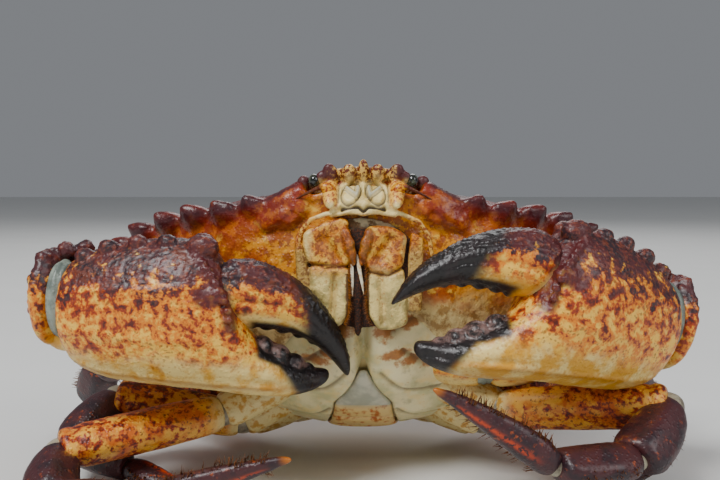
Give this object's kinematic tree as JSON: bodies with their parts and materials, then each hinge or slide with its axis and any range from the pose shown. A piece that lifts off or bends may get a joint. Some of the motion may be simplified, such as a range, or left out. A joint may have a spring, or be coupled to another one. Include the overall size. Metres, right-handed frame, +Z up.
{
  "type": "rock crab",
  "caption": "Life-size rock crab reared back on its walking legs, claws folded before its mouth, with a toothed fan-shaped shell and a spotted pale underside.",
  "frame": {"origin": "on the floor, under the middle of the crab's outline", "axes": "+X to the crab's left, across its widest reach; the crab faces -Y; +Z up"},
  "size_m": [0.179, 0.1468, 0.0798],
  "materials": {
    "shell": "satin chitin, finely granular, dark red-brown to orange",
    "belly": "satin chitin, cream with faint green and rusty marks",
    "mouth": "satin chitin, orange and cream with fine dots",
    "claw": "satin granular chitin, purple-brown above, mottled orange, cream below",
    "finger": "satin chitin, orange at the root and black at the tip",
    "leg": "glossy chitin, spotted orange and cream, darker towards the tip",
    "eye": "glossy black-green cornea",
    "feeler": "satin chitin"
  },
  "bodies": {
    "root": {"carapace": "shell", "sternum": "belly", "abdomen": "belly", "maxilliped_right": "mouth", "eye_right": "eye", "antenna_right": "feeler", "claw_right_ischium": "claw", "claw_right_merus": "claw", "claw_right_carpus": "claw", "claw_right_hand": "claw", "claw_right_finger": "finger", "maxilliped_left": "mouth", "eye_left": "eye", "antenna_left": "feeler", "claw_left_ischium": "claw", "claw_left_merus": "claw", "claw_left_carpus": "claw", "claw_left_hand": "claw", "claw_left_finger": "finger", "leg1_right_coxa": "leg", "leg1_right_merus": "leg", "leg1_right_carpus": "leg", "leg1_right_propodus": "leg", "leg1_right_dactyl": "leg", "leg1_left_coxa": "leg", "leg1_left_merus": "leg", "leg1_left_carpus": "leg", "leg1_left_propodus": "leg", "leg1_left_dactyl": "leg", "leg2_right_coxa": "leg", "leg2_right_merus": "leg", "leg2_right_carpus": "leg", "leg2_right_propodus": "leg", "leg2_right_dactyl": "leg", "leg2_left_coxa": "leg", "leg2_left_merus": "leg", "leg2_left_carpus": "leg", "leg2_left_propodus": "leg", "leg2_left_dactyl": "leg", "leg3_right_coxa": "leg", "leg3_right_merus": "leg", "leg3_right_carpus": "leg", "leg3_right_propodus": "leg", "leg3_right_dactyl": "leg", "leg3_left_coxa": "leg", "leg3_left_merus": "leg", "leg3_left_carpus": "leg", "leg3_left_propodus": "leg", "leg3_left_dactyl": "leg", "leg4_right_coxa": "leg", "leg4_right_merus": "leg", "leg4_right_carpus": "leg", "leg4_right_propodus": "leg", "leg4_right_dactyl": "leg", "leg4_left_coxa": "leg", "leg4_left_merus": "leg", "leg4_left_carpus": "leg", "leg4_left_propodus": "leg", "leg4_left_dactyl": "leg"}
  },
  "joints": []
}
